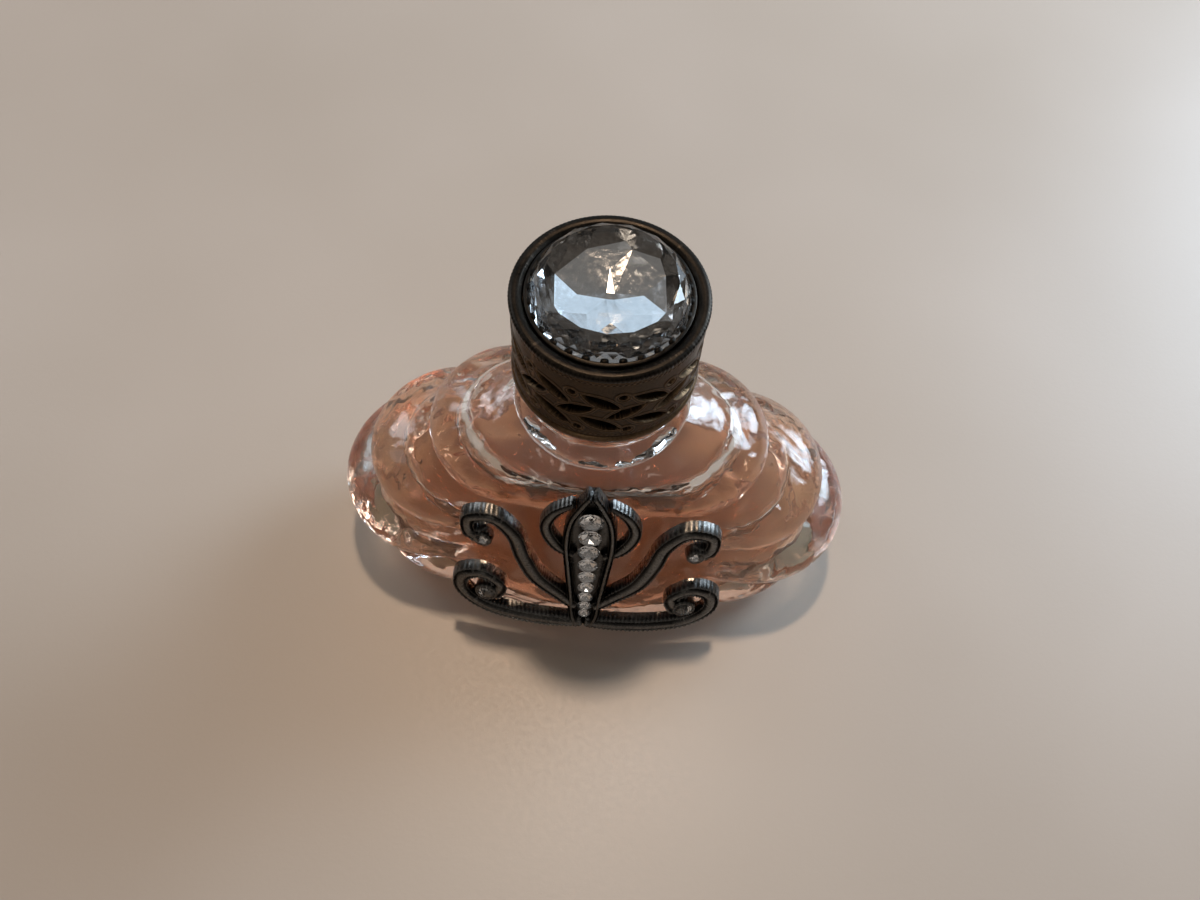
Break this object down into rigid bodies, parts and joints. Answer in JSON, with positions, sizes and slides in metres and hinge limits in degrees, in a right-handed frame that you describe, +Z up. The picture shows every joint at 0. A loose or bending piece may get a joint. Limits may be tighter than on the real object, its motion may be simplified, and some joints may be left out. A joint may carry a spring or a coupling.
{
  "type": "perfume bottle",
  "caption": "Lobed clear glass perfume bottle with a threaded openwork cap set with a large cut crystal and a stone-set metal ornament on its front.",
  "frame": {"origin": "on the resting face of the base, below the axis of the neck", "axes": "+X along the bottle's width, -Y out of the decorated front, +Z up along the neck's axis"},
  "size_m": [0.07, 0.0368, 0.059],
  "materials": {
    "clear_glass": "polished moulded glass",
    "perfume_liquid": "clear peach liquid",
    "gunmetal": "blackened cast metal, hand polished on its high spots",
    "small_crystals": "cut and foiled",
    "clear_glue": "cured clear adhesive",
    "liner_foam": "white foamed polyethylene",
    "black_plastic": "moulded black plastic",
    "dark_metal": "blackened",
    "antique_brass": "antiqued brass with darkened recesses",
    "antique_brass_edge": "antiqued brass",
    "gunmetal_rim": "blackened, finely chased",
    "cup_metal": "raw stamped metal",
    "cement": "cured cement",
    "silver_foil": "silvered backing",
    "large_crystal": "cut and polished crystal",
    "gunmetal_prongs": "blackened, with worn bright tips"
  },
  "bodies": {
    "bottle": {"glass_bottle": "clear_glass", "perfume": "perfume_liquid", "ornament_casting": "gunmetal", "ornament_spine_stones": "small_crystals", "ornament_scroll_stones": "small_crystals", "ornament_glue": "clear_glue"},
    "seal": {"cap_liner": "liner_foam"},
    "cap": {"cap_insert": "black_plastic", "cap_sleeve": "dark_metal", "filigree_band": "antique_brass", "foot_ring": "antique_brass_edge", "bezel_rim": "gunmetal_rim", "stone_cup": "cup_metal", "cup_cement": "cement", "crystal_foil": "silver_foil", "crystal": "large_crystal", "prong_ring": "gunmetal_prongs"}
  },
  "joints": [
    {"name": "cap_lift", "type": "slide", "parent": "bottle", "child": "seal", "axis": [0, 0, 1], "range_m": [0, 0.0108]},
    {"name": "cap_turn", "type": "hinge", "parent": "seal", "child": "cap", "pos_m": [0, 0, 0.05], "axis": [0, 0, 1], "range_deg": [0, 1224]}
  ],
  "couplings": [
    {"joint": "cap_lift", "follows": "cap_turn", "m_per_rad": 0.00050532}
  ]
}
